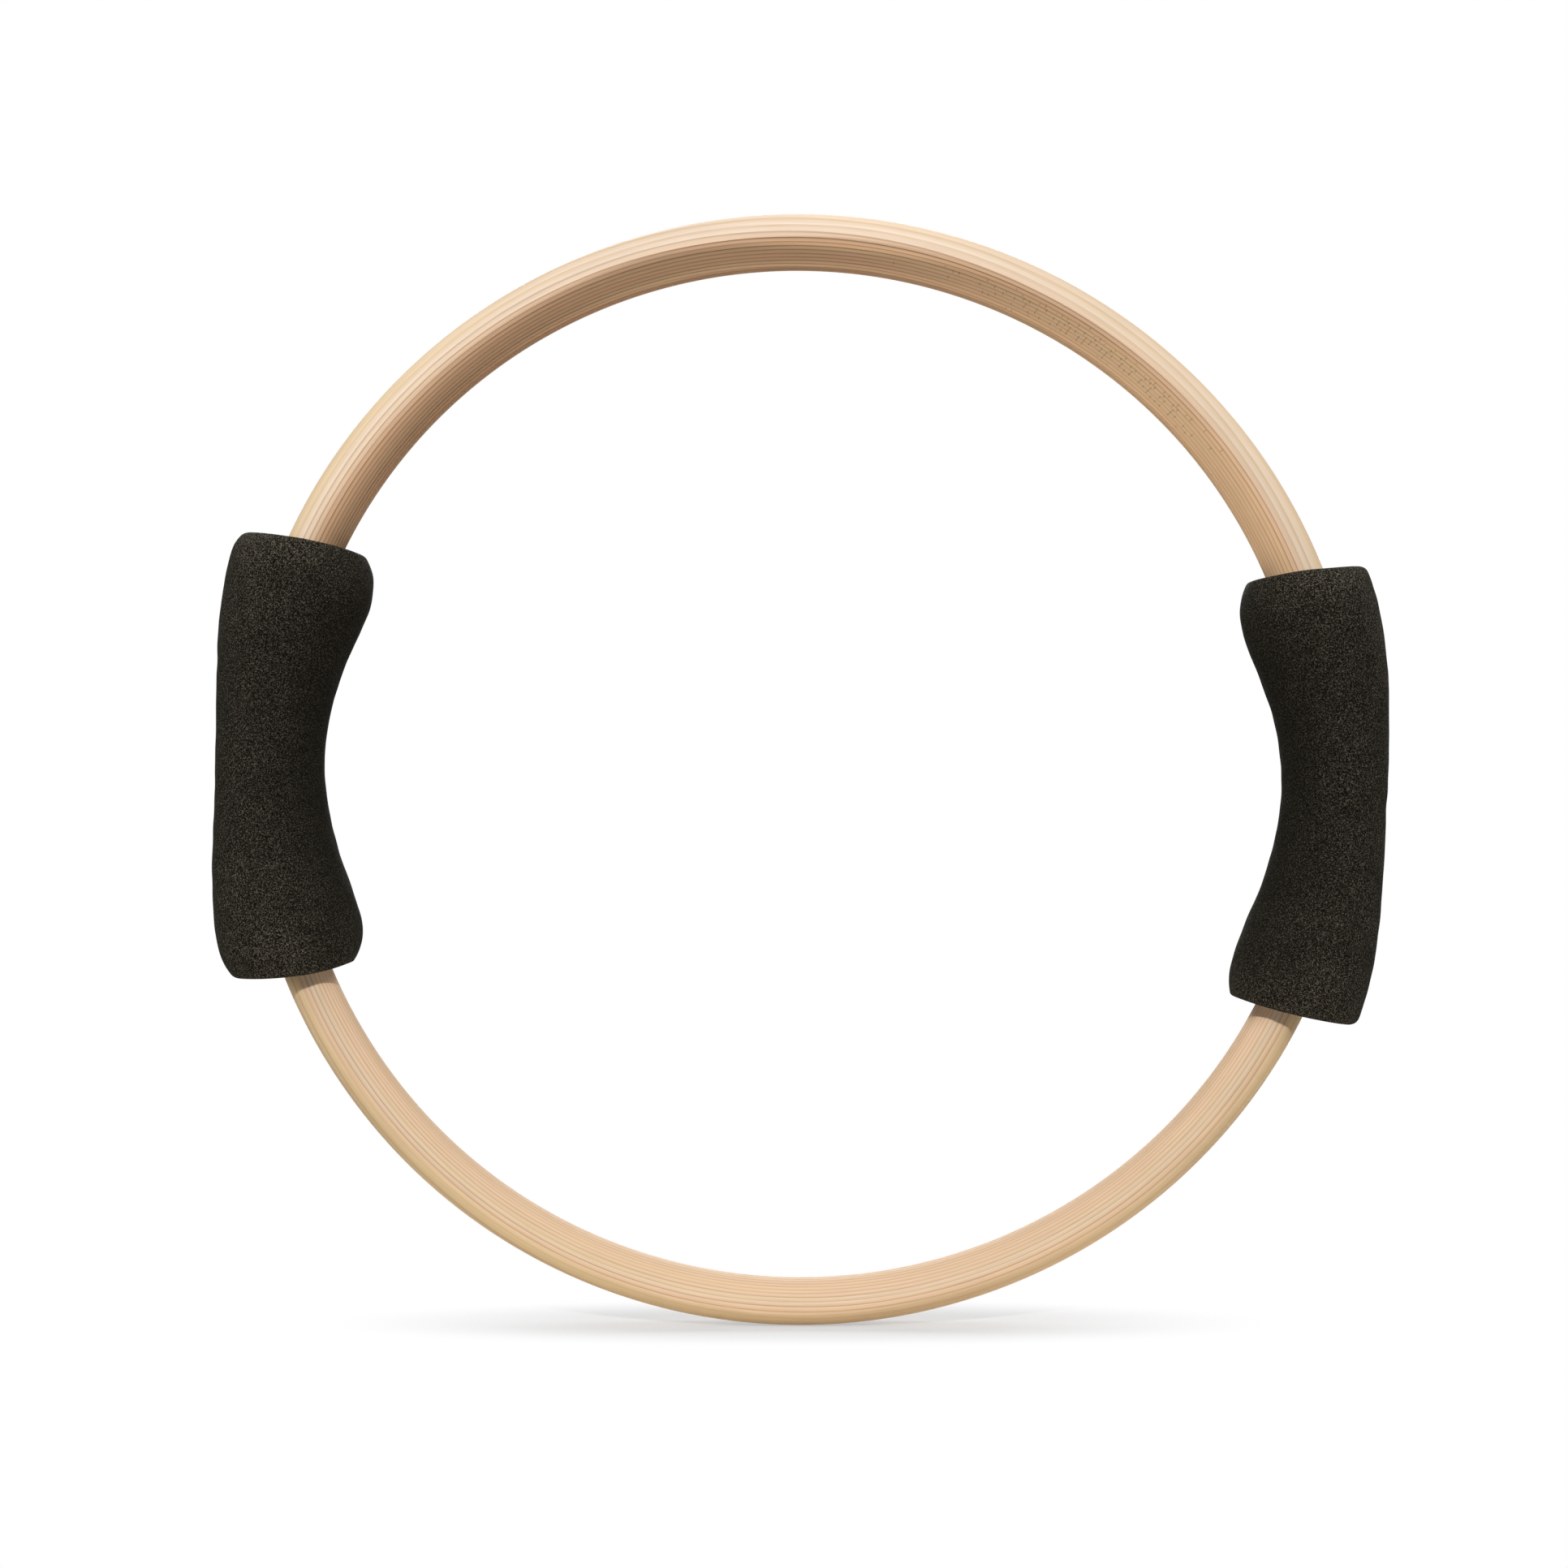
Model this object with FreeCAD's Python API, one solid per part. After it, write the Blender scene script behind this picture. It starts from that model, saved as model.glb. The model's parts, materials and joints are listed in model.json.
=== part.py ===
import FreeCAD, Part
import math
import os

from FreeCAD import Vector

# Pilates ring: two steam-bent rods scarfed end to end into a hoop, with a foam grip over each joint.
# The hoop stands on its edge with its centre at the origin. X runs from grip to grip, Y along the
# hoop's axis and Z up. Lengths are millimetres, and angles are degrees turned from +X towards +Z.

# Hoop: both rods share the outer diameter, and the upper one is the thicker
hoop_outer_diameter = 360.0
upper_rod_thickness = 17.5
lower_rod_thickness = 15.0
rod_width = 20.0

# Joints: the middle of each scarf and of the grip over it
left_joint_angle = 178.7
right_joint_angle = -2.55

# Scarf: each rod end tapers past the other, down to a blunt nib
scarf_length = 90.0
scarf_nib = 1.6
glue_line = 0.1

# Shoulder: the upper rod is dressed down to the lower rod's section before the joint
shoulder_length = 8.0
shoulder_setback = 2.0

# Dowels: driven through both rods towards the hoop's centre, one near each end of the scarf
dowel_diameter = 5.0
dowel_setback = 27.0
dowel_recess = 0.9
dowel_clearance = 0.1

# Grip tape: wound round the joint under the foam, past both ends of the scarf
tape_overlap = 5.0
tape_thickness = 0.5
tape_clearance = 0.15

# Grip: a turned hourglass of foam, bent with the rods, whose ends stand a little outwards of them
grip_length = 142.0
grip_waist_diameter = 34.4
grip_flare_diameter = 46.0
grip_end_shift = 1.6
grip_end_rounding = 5.5
grip_clearance = 0.3

# Cuts run this far past what they cut
overrun = 5.0

# The foam is stiff across, so its end faces take only this share of the rod's turn
grip_end_turn_share = 0.55
# Share of each half of the grip over which it flares, before it runs on straight to the end face
grip_flare_share = 0.92
# Sections of the grip along each half, from the waist to the end face
grip_section_shares = (0.0, 0.23, 0.46, 0.69, 0.92, 1.0)

# Oval section of four arcs on a 3-4-5 triangle: where the arcs meet, and how far their centres
# lie from the section's middle for each unit by which the oval is wider than thick
oval_joint_thickness_share = 0.6
oval_joint_width_share = 0.8
oval_crown_share = 1.5

origin = Vector(0, 0, 0)
hoop_axis = Vector(0, -1, 0)
hoop_outer_radius = hoop_outer_diameter / 2
joint_radius = hoop_outer_radius - lower_rod_thickness / 2


def turn_of(length):
    """Angle that a length takes along the middle of the rod at the joints."""
    return math.degrees(length / joint_radius)


scarf_turn = turn_of(scarf_length / 2)
tape_length = scarf_length + 2 * tape_overlap
tape_turn = turn_of(tape_length / 2)
shoulder_start_turn = turn_of(tape_length / 2 + shoulder_setback)
shoulder_end_turn = turn_of(tape_length / 2 + shoulder_setback + shoulder_length)
grip_turn = turn_of(grip_length / 2)


class Joint:
    """One joint of the hoop. Turns from its middle are positive downwards, into the lower rod."""

    def __init__(self, angle, down):
        self.angle = angle
        self.down = down

    def at(self, turn):
        """Hoop angle at a turn from the joint's middle."""
        return self.angle + self.down * turn

    def tangent(self):
        """Direction along the hoop at the joint's middle, downwards."""
        across = Vector(self.down, 0, 0)
        return FreeCAD.Rotation(hoop_axis, self.angle + 90).multVec(across)


joints = {"left": Joint(left_joint_angle, 1), "right": Joint(right_joint_angle, -1)}


def oval(outer_radius, thickness, width, grow):
    """Wire of an oval rod section at hoop angle 0, grown evenly all round."""
    middle = outer_radius - thickness / 2
    half_thickness = thickness / 2 + grow
    half_width = width / 2 + grow
    crown_radius = half_thickness + oval_crown_share * (half_width - half_thickness)
    reach = half_thickness - crown_radius + oval_joint_thickness_share * crown_radius
    spread = oval_joint_width_share * crown_radius

    outer_front = Vector(middle + reach, -spread, 0)
    outer_back = Vector(middle + reach, spread, 0)
    inner_front = Vector(middle - reach, -spread, 0)
    inner_back = Vector(middle - reach, spread, 0)
    arcs = [
        Part.Arc(outer_back, Vector(middle + half_thickness, 0, 0), outer_front),
        Part.Arc(outer_front, Vector(middle, -half_width, 0), inner_front),
        Part.Arc(inner_front, Vector(middle - half_thickness, 0, 0), inner_back),
        Part.Arc(inner_back, Vector(middle, half_width, 0), outer_back),
    ]
    return Part.Wire([arc.toShape() for arc in arcs])


def upper_section(grow):
    return oval(hoop_outer_radius, upper_rod_thickness, rod_width, grow)


def joint_section(grow):
    """Section of the lower rod, which the upper rod shares inside the grips."""
    return oval(hoop_outer_radius, lower_rod_thickness, rod_width, grow)


def turned(shape, angle):
    """Copy of a shape, carried round the hoop by an angle."""
    copy = shape.copy()
    copy.rotate(origin, hoop_axis, angle)
    return copy


def bend(wire, start, end):
    """Solid bent round the hoop with the wire's section, between two hoop angles."""
    low = min(start, end)
    face = turned(Part.Face(wire), low)
    return face.revolve(origin, hoop_axis, max(start, end) - low)


def upper_blank(grow):
    """Upper rod before the scarfs are cut: full section, a shoulder and a dressed end each side."""
    left, right = joints["left"], joints["right"]
    rod = bend(upper_section(grow), right.at(-shoulder_end_turn), left.at(-shoulder_end_turn))
    ends = []
    for joint in joints.values():
        full = turned(upper_section(grow), joint.at(-shoulder_end_turn))
        dressed = turned(joint_section(grow), joint.at(-shoulder_start_turn))
        ends.append(Part.makeLoft([full, dressed], True, True))
        ends.append(bend(joint_section(grow), joint.at(-shoulder_start_turn), joint.at(scarf_turn)))
    return rod.fuse(ends).removeSplitter()


def lower_blank(grow):
    """Lower rod before the scarfs are cut, the long way round below the joints."""
    start = joints["left"].at(-scarf_turn)
    end = joints["right"].at(-scarf_turn) + 360
    return bend(joint_section(grow), start, end)


def joint_block(joint, start_turn, end_turn):
    """Block round the rods at a joint, between two turns from its middle."""
    inside = hoop_outer_radius - lower_rod_thickness - overrun
    outside = hoop_outer_radius + overrun
    side = rod_width / 2 + overrun
    corners = [(inside, -side), (outside, -side), (outside, side), (inside, side), (inside, -side)]
    outline = Part.makePolygon([Vector(x, y, 0) for x, y in corners])
    return bend(outline, joint.at(start_turn), joint.at(end_turn))


def scarf_drum(joint, radius):
    """Drum set off the hoop's axis, whose wall crosses the rods from one nib to the other."""
    crossing = lower_rod_thickness / 2 - scarf_nib
    offset = crossing / math.sin(math.radians(scarf_turn))
    side = rod_width / 2 + overrun
    base = joint.tangent() * offset + Vector(0, -side, 0)
    return Part.makeCylinder(radius, 2 * side, base, Vector(0, 1, 0))


def upper_scarf_cut(joint):
    """What the upper rod loses at a joint: the side towards the hoop's centre."""
    block = joint_block(joint, -scarf_turn - turn_of(glue_line), scarf_turn + turn_of(overrun))
    return block.common(scarf_drum(joint, joint_radius + glue_line / 2))


def lower_scarf_cut(joint):
    """What the lower rod loses at a joint: the outer side."""
    block = joint_block(joint, -scarf_turn - turn_of(overrun), scarf_turn + turn_of(glue_line))
    return block.cut(scarf_drum(joint, joint_radius - glue_line / 2))


def dowel_row(joint, diameter, recess):
    """The joint's two dowels, or their holes, with their ends set in from the rods' faces."""
    length = lower_rod_thickness - 2 * recess
    foot = Vector(joint_radius - length / 2, 0, 0)
    dowel = Part.makeCylinder(diameter / 2, length, foot, Vector(1, 0, 0))
    turn = turn_of(scarf_length / 2 - dowel_setback)
    return [turned(dowel, joint.at(place)) for place in (-turn, turn)]


def rod(blank, scarf_cut):
    """Rod with its scarfs and dowel holes cut."""
    cuts = []
    for joint in joints.values():
        cuts.append(scarf_cut(joint))
        cuts.extend(dowel_row(joint, dowel_diameter + 2 * dowel_clearance, -overrun))
    return blank.cut(cuts)


def dowels(joint):
    return Part.makeCompound(dowel_row(joint, dowel_diameter, dowel_recess))


def grip_tape(joint):
    """Sleeve of tape round a joint."""
    outside = bend(joint_section(tape_clearance + tape_thickness), joint.at(-tape_turn), joint.at(tape_turn))
    inside = bend(
        joint_section(tape_clearance),
        joint.at(-tape_turn - turn_of(overrun)),
        joint.at(tape_turn + turn_of(overrun)),
    )
    return outside.cut(inside)


def tape_room(joint):
    """Space that the foam leaves for the tape."""
    turn = tape_turn + turn_of(grip_clearance)
    grow = tape_clearance + tape_thickness + grip_clearance
    return bend(joint_section(grow), joint.at(-turn), joint.at(turn))


def grip_section(joint, share):
    """Round section of the foam at a share of the grip's half-length, leaning with its end faces."""
    swell = (1 - math.cos(math.pi * min(abs(share) / grip_flare_share, 1))) / 2
    diameter = grip_waist_diameter + swell * (grip_flare_diameter - grip_waist_diameter)
    middle = joint_radius + grip_end_shift * share**2
    section = oval(middle + diameter / 2, diameter, diameter, 0)
    turn = joint.down * grip_turn * share
    section.rotate(Vector(joint_radius, 0, 0), hoop_axis, (grip_end_turn_share - 1) * turn)
    return turned(section, joint.angle + turn)


def grip(joint):
    """Foam sleeve: an hourglass with rounded ends, bored for the rods and the tape."""
    first_half = [-share for share in reversed(grip_section_shares[1:])]
    sections = [grip_section(joint, share) for share in first_half + list(grip_section_shares)]
    foam = Part.makeLoft(sections, True, False)
    end_faces = [face for face in foam.Faces if isinstance(face.Surface, Part.Plane)]
    rims = [edge for face in end_faces for edge in face.Edges]
    foam = foam.makeFillet(grip_end_rounding, rims)
    return foam.cut([upper_blank(grip_clearance), lower_blank(grip_clearance), tape_room(joint)])


pieces = {
    "upper_half_hoop": rod(upper_blank(0), upper_scarf_cut),
    "lower_half_hoop": rod(lower_blank(0), lower_scarf_cut),
}
for side, joint in joints.items():
    pieces[f"{side}_scarf_dowels"] = dowels(joint)
    pieces[f"{side}_grip_tape"] = grip_tape(joint)
    pieces[f"{side}_grip"] = grip(joint)

os.makedirs("parts", exist_ok=True)
for name, shape in pieces.items():
    shape.exportStep(f"parts/{name}.step")
    print(name, len(shape.Solids), "solids", round(shape.Volume / 1000, 2), "cm3", shape.isValid())
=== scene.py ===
import json
import math

import bpy
import numpy as np
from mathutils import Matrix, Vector, noise


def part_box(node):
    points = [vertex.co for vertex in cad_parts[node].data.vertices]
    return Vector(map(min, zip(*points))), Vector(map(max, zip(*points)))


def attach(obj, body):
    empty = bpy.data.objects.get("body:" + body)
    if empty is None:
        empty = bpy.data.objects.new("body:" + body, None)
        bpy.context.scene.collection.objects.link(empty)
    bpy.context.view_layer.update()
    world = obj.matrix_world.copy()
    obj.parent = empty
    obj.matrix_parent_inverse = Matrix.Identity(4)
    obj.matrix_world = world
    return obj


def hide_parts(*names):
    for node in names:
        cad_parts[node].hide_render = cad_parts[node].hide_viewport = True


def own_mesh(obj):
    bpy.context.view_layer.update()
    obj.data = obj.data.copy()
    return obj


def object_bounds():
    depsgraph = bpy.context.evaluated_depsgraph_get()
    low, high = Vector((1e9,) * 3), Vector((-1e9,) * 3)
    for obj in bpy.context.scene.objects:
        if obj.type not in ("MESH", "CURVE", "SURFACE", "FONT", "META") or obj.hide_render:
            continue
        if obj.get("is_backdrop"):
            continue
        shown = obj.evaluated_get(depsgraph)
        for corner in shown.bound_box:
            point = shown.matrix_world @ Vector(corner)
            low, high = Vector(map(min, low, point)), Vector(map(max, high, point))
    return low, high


bl_info = {
    "name": "Pilates Ring",
    "version": (1, 0, 0),
    "blender": (4, 5, 0),
    "location": "3D View > Sidebar > Pilates Ring",
    "description": "Steam-bent ash hoop with two foam grips, dressed round its solid model",
    "category": "Object",
}

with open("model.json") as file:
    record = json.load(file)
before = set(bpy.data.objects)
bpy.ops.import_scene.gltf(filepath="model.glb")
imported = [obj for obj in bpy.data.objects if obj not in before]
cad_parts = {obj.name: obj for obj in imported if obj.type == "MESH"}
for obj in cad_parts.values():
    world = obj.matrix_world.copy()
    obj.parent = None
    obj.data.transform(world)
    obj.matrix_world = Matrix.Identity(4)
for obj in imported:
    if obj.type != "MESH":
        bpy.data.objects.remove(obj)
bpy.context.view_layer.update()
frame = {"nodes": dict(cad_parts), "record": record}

# The solid model stands on its edge with the hoop's centre at the origin: X from grip to grip,
# -Y towards the viewer and Z up. Hoop angles are turned from +X towards +Z.
mount_places = {mount["name"]: Vector(mount["pos_m"]) for mount in frame["record"]["mounts"]}
outer_radius = -mount_places["rim_rest"].z
upper_thickness = outer_radius - mount_places["crown_hang"].z
wood_low, wood_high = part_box("upper_half_hoop")
rod_width = wood_high.y - wood_low.y
towards_viewer = np.array([0, -1, 0])

# Sides of the hoop: the name of the grip there, and which way round the hoop leads down from it
sides = {"left": 1, "right": -1}

# Oval section of four arcs, which meet where a 3-4-5 triangle says
oval_cosine = 0.6
oval_sine = 0.8
oval_crown_share = 1.5

# Distance from the middle of a joint at which a rod has left the grip and takes its own line
free_distance = 0.07

# Where the upper rod has sprung out most, where the lower rod stands, and how far to each side of
# that place it has settled
spring_angle = math.radians(170)
stand_angle = math.radians(280)
settled_turn = math.pi / 3

# Growth rings in the rods: their tilt, how it wavers along the hoop, the distance to the pith of
# the tree, how fast the rings narrow outwards, and how far they run out of the rod
ring_tilt = math.radians(20)
ring_waver = math.radians(4)
pith_distance = 0.07
ring_narrowing = 32
ring_run_out = 0.0008

# Half of the taped stretch inside a grip, and the run over which the bore then closes on the rod
taped_half = 0.05
bore_step = 0.006

# Colour sockets of the Mix node, which share their names with its sockets of other kinds
mix_first, mix_second, mix_result = 6, 7, 2


def joint_angle(side):
    """Hoop angle at the middle of a grip."""
    place = mount_places[f"{side}_press_pad"]
    return math.atan2(place.z, place.x)


def radial(angle):
    """Direction from the hoop's centre at a hoop angle."""
    return np.array([math.cos(angle), 0, math.sin(angle)])


def colour(code):
    """Linear colour of an sRGB hex code."""
    shares = [int(code[start:start + 2], 16) / 255 for start in (0, 2, 4)]
    return [share / 12.92 if share <= 0.04045 else ((share + 0.055) / 1.055) ** 2.4 for share in shares]


def hue(name, description, code):
    """Setting for a colour."""
    return bpy.props.FloatVectorProperty(
        name=name, description=description, default=colour(code), subtype="COLOR", size=3, min=0, max=1
    )


def length(name, description, default):
    """Setting for a length."""
    return bpy.props.FloatProperty(name=name, description=description, default=default, unit="LENGTH")


def end_lengths(name, description, default):
    """Setting of a length for each end of each grip: left upper, left lower, right upper, right lower."""
    return bpy.props.FloatVectorProperty(
        name=name, description=description, default=default, size=4, unit="LENGTH"
    )


class HoopSizes(bpy.types.PropertyGroup):
    """Sizes of the two bent rods and of the scarfs that join them."""

    lower_thickness: length("Lower thickness", "Thickness of the lower rod towards the centre", 0.015)
    lower_flat: length("Lower flat", "How far the lower rod has settled inwards where it stands", 0.0009)
    lower_fullness: bpy.props.FloatProperty(
        name="Lower fullness", description="Share by which the lower rod's corners are left full",
        default=0.06, subtype="FACTOR", min=0, max=1,
    )
    upper_spring: length("Upper spring", "How far the upper rod has sprung out of round", 0.0012)
    lower_offset: length("Lower offset", "How far the lower rod stands to the right", 0.0008)
    upper_growth: length("Upper growth", "How much the free upper rod is thicker than cut", 0.0005)
    bevel_slope: bpy.props.FloatProperty(
        name="Bevel slope", description="Steepness of the bevels planed on the upper rod", default=0.62
    )
    ridge_lift: length("Ridge lift", "How far the ridge lies outwards of the rod's middle", 0.0007)
    scarf_length: length("Scarf length", "Length over which the rods taper past each other", 0.09)
    scarf_nib: length("Scarf nib", "Thickness left at the tip of each scarf", 0.0016)
    glue_line: length("Glue line", "Gap between the scarf faces", 0.0001)
    dressed_length: length("Dressed length", "Stretch of a joint with the lower rod's section", 0.104)
    shoulder_length: length("Shoulder length", "Run from the dressed stretch to the full section", 0.008)
    station_step: length("Station step", "Distance between mesh sections along a rod", 0.0012)
    section_points: bpy.props.IntProperty(
        name="Section points", description="Mesh points round a rod", default=144, min=24
    )


class GripSizes(bpy.types.PropertyGroup):
    """Sizes of the foam grips. Both are cut alike, but each has settled on its rods in its own way."""

    waist: bpy.props.FloatVectorProperty(
        name="Waist", description="Diameter at the waist, left and right", default=(0.035, 0.0338),
        size=2, unit="LENGTH",
    )
    inset: bpy.props.FloatVectorProperty(
        name="Inset", description="How far the foam sits towards the centre, left and right",
        default=(0.0015, -0.0002), size=2, unit="LENGTH",
    )
    flare_share: bpy.props.FloatVectorProperty(
        name="Flare share", description="Share of each half that flares, left and right",
        default=(1.14, 1.15), size=2,
    )
    half_length: end_lengths("Half length", "From the waist to the end", (0.0723, 0.0723, 0.0731, 0.0727))
    flare: end_lengths("Flare", "Diameter that the end flares towards", (0.054, 0.0531, 0.0506, 0.0494))
    end_shift: end_lengths("End shift", "How far the end stands outwards", (-0.0001, 0.0014, -0.003, 0.0013))
    outer_run: end_lengths("Outer run", "Length of the outer end taper", (0.007, 0.0142, 0.003, 0.0039))
    outer_drop: end_lengths("Outer drop", "Depth of the outer end taper", (0.0018, 0.0027, 0.0008, 0.0015))
    inner_run: end_lengths("Inner run", "Length of the inner end taper", (0.036, 0.0347, 0.036, 0.036))
    inner_drop: end_lengths("Inner drop", "Depth of the inner end taper", (0.0117, 0.0105, 0.012, 0.0069))
    inner_setback: end_lengths(
        "Inner setback", "How far the inner rim stays behind the outer one", (0.0022, 0.004, 0.0008, 0.0021)
    )
    rim_rounding: length("Rim rounding", "Rounding of the rims", 0.0012)
    end_turn_share: bpy.props.FloatVectorProperty(
        name="End turn share", description="Share of the rod's turn that the end faces take",
        default=(0.26, 0.11, 0.36, 0.33), size=4,
    )
    bore_gap: length("Bore gap", "Gap between the foam and the rods", 0.0006)
    bore_room: length("Bore room", "Further gap over the taped stretch", 0.0007)
    skin_relief: length("Skin relief", "Depth of the soft lumps in the skin", 0.00022)
    skin_lump: length("Skin lump", "Width of the soft lumps in the skin", 0.006)
    ring_points: bpy.props.IntProperty(
        name="Ring points", description="Mesh points round a grip", default=192, min=24
    )
    half_stations: bpy.props.IntProperty(
        name="Half stations", description="Mesh sections in each half of a grip", default=110, min=16
    )


class FinishColours(bpy.types.PropertyGroup):
    """Colours of the finishes."""

    heart_spring: hue("Ash heartwood, spring wood", "Pale wood that a growth ring starts with", "EFC49E")
    heart_summer: hue("Ash heartwood, summer wood", "Denser wood that a growth ring ends with", "E5B48A")
    sap_spring: hue("Ash sapwood, spring wood", "Pale wood that a growth ring starts with", "F1DCC8")
    sap_summer: hue("Ash sapwood, summer wood", "Denser wood that a growth ring ends with", "E8CFB2")
    ash_line: hue("Ash, ring line", "Thin line between two growth rings", "AC845C")
    ash_honey: hue("Ash, honey streak", "Yellower streaks along the rod", "EBCFA2")
    ash_check: hue("Ash, compression check", "Short checks across the inner face", "7A5636")
    foam_dark: hue("Foam, pits", "Open cells in the foam's ground skin", "11100B")
    # The pale speckle stands for the cells' paler walls and for painted glints of light on them
    foam_walls_and_glints: hue("Foam, walls", "Cell walls that catch the light", "706A5D")
    tape: hue("Tape", "Cotton tape under the foam", "E3DED0")
    dowel: hue("Dowel", "Beech of the dowels", "C79A6B")


class StageSizes(bpy.types.PropertyGroup):
    """Floor, camera and lamps."""

    camera_distance: length("Camera distance", "From the lens to the hoop's plane", 1.048)
    camera_right: length("Camera right", "How far the camera stands to the right of the centre", -0.0051)
    camera_up: length("Camera up", "How far the camera stands above the centre", -0.0047)
    lens: bpy.props.FloatProperty(
        name="Lens", description="Focal length of the camera", default=74.5, unit="CAMERA"
    )
    floor_radius: length("Floor radius", "Radius of the pale floor", 1.2)
    lamp_distance: length("Lamp distance", "From each lamp to the hoop's centre", 1.8)


class RingSettings(bpy.types.PropertyGroup):
    """All the settings of the ring."""

    hoop: bpy.props.PointerProperty(type=HoopSizes)
    grip: bpy.props.PointerProperty(type=GripSizes)
    finish: bpy.props.PointerProperty(type=FinishColours)
    stage: bpy.props.PointerProperty(type=StageSizes)


def smooth(low, high, value):
    """0 at low and beyond it, 1 at high and beyond it, and an S-curve between."""
    share = np.clip((value - low) / (high - low), 0, 1)
    return share * share * (3 - 2 * share)


def sweep(start, end, angles):
    """The same S-curve along the hoop, between two hoop angles in degrees."""
    return smooth(math.radians(start), math.radians(end), angles)


def bell(middle, width, value, power=2):
    """1 at the middle, falling to nothing over the width to each side."""
    return np.exp(-(((value - middle) / width) ** power))


def add_node(tree, kind, inputs=None, **settings):
    """Adds a shader node with its settings, sets or links its inputs, and returns its outputs."""
    node = tree.nodes.new(kind)
    for name, value in settings.items():
        setattr(node, name, value)
    for key, value in (inputs or {}).items():
        if isinstance(value, bpy.types.NodeSocket):
            tree.links.new(value, node.inputs[key])
        else:
            node.inputs[key].default_value = value
    return node.outputs


def new_material(name):
    """An empty material, its node tree and the surface socket of its output."""
    material = bpy.data.materials.new(name)
    material.use_nodes = True
    tree = material.node_tree
    tree.nodes.clear()
    output = tree.nodes.new("ShaderNodeOutputMaterial")
    return material, tree, output.inputs["Surface"]


def per(size):
    """Pattern repeats in a metre for a real size."""
    return 1 / size


def grid_mesh(name, rings, closed):
    """Mesh of quads between neighbouring rings of points, closed into a loop or capped at both ends."""
    count, points = rings.shape[:2]
    index = np.arange(count * points).reshape(count, points)
    following = np.roll(index, -1, axis=0) if closed else index[1:]
    here = index if closed else index[:-1]
    quads = np.stack([here, np.roll(here, -1, axis=1), np.roll(following, -1, axis=1), following], axis=-1)
    faces = quads.reshape(-1, 4).tolist()
    if not closed:
        faces.append(index[0, ::-1].tolist())
        faces.append(index[-1].tolist())
    mesh = bpy.data.meshes.new(name)
    mesh.from_pydata(rings.reshape(-1, 3).tolist(), [], faces)
    mesh.validate()
    mesh.shade_smooth()
    return mesh


def link(name, mesh, material):
    """New object in the scene with a mesh and a material."""
    piece = bpy.data.objects.new(name, mesh)
    bpy.context.scene.collection.objects.link(piece)
    mesh.materials.append(material)
    return piece


def store(mesh, name, values):
    """Stores a value at each point of a mesh, for a material to read."""
    attribute = mesh.attributes.new(name, "FLOAT", "POINT")
    attribute.data.foreach_set("value", values.astype(np.float32).ravel())


def oval(thickness, width, normals):
    """Points of an oval rod section, outwards and towards the viewer, by the angle of their normals."""
    half_thickness = thickness / 2
    half_width = width / 2
    crown = half_thickness + oval_crown_share * (half_width - half_thickness)
    flank = (half_thickness - (1 - oval_cosine) * crown) / oval_cosine
    cosine, sine = np.cos(normals), np.sin(normals)
    on_crown = np.abs(cosine) >= oval_cosine
    crown_outwards = np.sign(cosine) * (half_thickness - crown) + crown * cosine
    flank_frontwards = np.sign(sine) * oval_sine * (crown - flank) + flank * sine
    outwards = np.where(on_crown, crown_outwards, flank * cosine)
    frontwards = np.where(on_crown, crown * sine, flank_frontwards)
    return outwards, frontwards


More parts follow.
